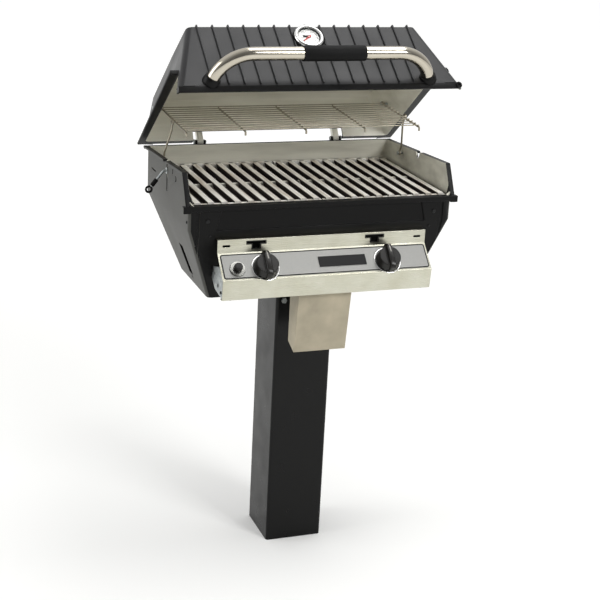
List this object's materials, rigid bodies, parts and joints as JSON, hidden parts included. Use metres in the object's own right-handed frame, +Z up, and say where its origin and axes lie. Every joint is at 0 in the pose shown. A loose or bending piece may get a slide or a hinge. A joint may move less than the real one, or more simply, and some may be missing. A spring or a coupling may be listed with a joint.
{
  "type": "park bbq grill pedestal",
  "caption": "Gas barbecue on a square in-ground post, with a ribbed hinged lid, swinging warming rack, cooking grates, control knobs and a folded cover over the gas inlet.",
  "frame": {"origin": "on the post's axis at ground level", "axes": "+X to the right seen from the cook, +Y to the back, +Z up along the post"},
  "size_m": [0.7536, 0.5749, 1.8628],
  "materials": {
    "post_powder_coat": "satin black powder coat",
    "cast_paint_charcoal": "cast aluminium under charcoal heat paint, bare and grey inside",
    "stainless_brushed": "brushed along the width",
    "stainless_bar": "cast stainless with heat tint",
    "chrome_wire": "bright chrome plate",
    "zinc_plate": "galvanised",
    "taupe_sheet_paint": "matte taupe paint",
    "brass_bare": "machined",
    "knob_thermoset": "matte black phenolic",
    "grip_rubber": "matte black",
    "marker_white": "moulded white line",
    "ceramic_tile": "fired ceramic",
    "dial_enamel": "white enamel",
    "gauge_glass": "clear",
    "needle_red": "red enamel"
  },
  "bodies": {
    "stand": {"post": "post_powder_coat", "saddle": "post_powder_coat", "post_bolts": "zinc_plate", "saddle_bolts": "zinc_plate", "firebox": "cast_paint_charcoal", "firebox_screws": "zinc_plate", "burner_rails": "stainless_bar", "grate_left": "stainless_bar", "grate_right": "stainless_bar", "burner_left": "stainless_bar", "burner_right": "stainless_bar", "burner_tiles_left": "ceramic_tile", "burner_tiles_right": "ceramic_tile", "mixer_tube_left": "stainless_bar", "mixer_tube_right": "stainless_bar", "electrodes": "ceramic_tile", "panel_bracket_left": "zinc_plate", "panel_bracket_right": "zinc_plate", "valve_left": "brass_bare", "valve_right": "brass_bare", "control_panel": "stainless_brushed", "fascia_plate": "stainless_brushed", "panel_screws": "zinc_plate", "gas_manifold": "zinc_plate", "gas_inlet": "brass_bare", "igniter_body": "chrome_wire", "gas_line_cover": "taupe_sheet_paint", "hinge_brackets": "cast_paint_charcoal", "hinge_pins": "zinc_plate", "rack_arm_pins": "zinc_plate"},
    "lid_frame": {"lid": "cast_paint_charcoal", "lid_hinge_lugs": "cast_paint_charcoal", "handle_tube": "stainless_brushed", "handle_grip": "grip_rubber", "handle_sockets": "knob_thermoset", "handle_screws": "zinc_plate", "thermometer_case": "chrome_wire", "thermometer_dial": "dial_enamel", "thermometer_glass": "gauge_glass", "thermometer_stem": "stainless_bar", "rack_pins": "zinc_plate"},
    "needle": {"thermometer_needle": "needle_red"},
    "rack": {"warming_rack": "chrome_wire"},
    "rack_arms": {"rack_arm_left": "chrome_wire", "rack_arm_right": "chrome_wire"},
    "collar_left": {"valve_collar_left": "chrome_wire"},
    "collar_right": {"valve_collar_right": "chrome_wire"},
    "control_left": {"valve_stem_left": "brass_bare", "knob_left": "knob_thermoset", "knob_marker_left": "marker_white"},
    "control_right": {"valve_stem_right": "brass_bare", "knob_right": "knob_thermoset", "knob_marker_right": "marker_white"},
    "igniter": {"igniter_button": "knob_thermoset"},
    "lever": {"side_lever": "chrome_wire", "side_lever_grip": "grip_rubber"}
  },
  "joints": [
    {"name": "lid_hinge", "type": "hinge", "parent": "stand", "child": "lid_frame", "pos_m": [0, 0.2596, 1.0099], "axis": [1, 0, 0], "range_deg": [0, 34.2]},
    {"name": "rack_swing", "type": "hinge", "parent": "lid_frame", "child": "rack", "pos_m": [0, 0.221, 1.1086], "axis": [1, 0, 0], "range_deg": [-34.8, 0]},
    {"name": "arm_swing", "type": "hinge", "parent": "stand", "child": "rack_arms", "pos_m": [0, 0.125, 0.995], "axis": [1, 0, 0], "range_deg": [0, 31.35]},
    {"name": "knob_push_left", "type": "slide", "parent": "stand", "child": "collar_left", "axis": [0, 0.7003, -0.7138], "range_m": [0, 0.0022], "stiffness_N_per_m": 2500, "springref_m": -0.002},
    {"name": "knob_turn_left", "type": "hinge", "parent": "collar_left", "child": "control_left", "pos_m": [-0.157, -0.2158, 0.8088], "axis": [0, -0.7003, 0.7138], "range_deg": [0, 180]},
    {"name": "knob_push_right", "type": "slide", "parent": "stand", "child": "collar_right", "axis": [0, 0.7003, -0.7138], "range_m": [0, 0.0022], "stiffness_N_per_m": 2500, "springref_m": -0.002},
    {"name": "knob_turn_right", "type": "hinge", "parent": "collar_right", "child": "control_right", "pos_m": [0.157, -0.2158, 0.8088], "axis": [0, -0.7003, 0.7138], "range_deg": [0, 180]},
    {"name": "igniter_push", "type": "slide", "parent": "stand", "child": "igniter", "axis": [0, 0.7003, -0.7138], "range_m": [0, 0.005], "stiffness_N_per_m": 1500, "springref_m": -0.002},
    {"name": "needle_turn", "type": "hinge", "parent": "lid_frame", "child": "needle", "pos_m": [0, -0.00588, 1.31738], "axis": [0, -0.5856, 0.8106], "range_deg": [-256, 0]},
    {"name": "lever_slide", "type": "slide", "parent": "stand", "child": "lever", "axis": [0, 0, 1], "range_m": [-0.044, 0]}
  ],
  "couplings": [
    {"joint": "rack_swing", "follows": "lid_hinge", "ratio": -1.017},
    {"joint": "arm_swing", "follows": "lid_hinge", "ratio": 0.916}
  ]
}
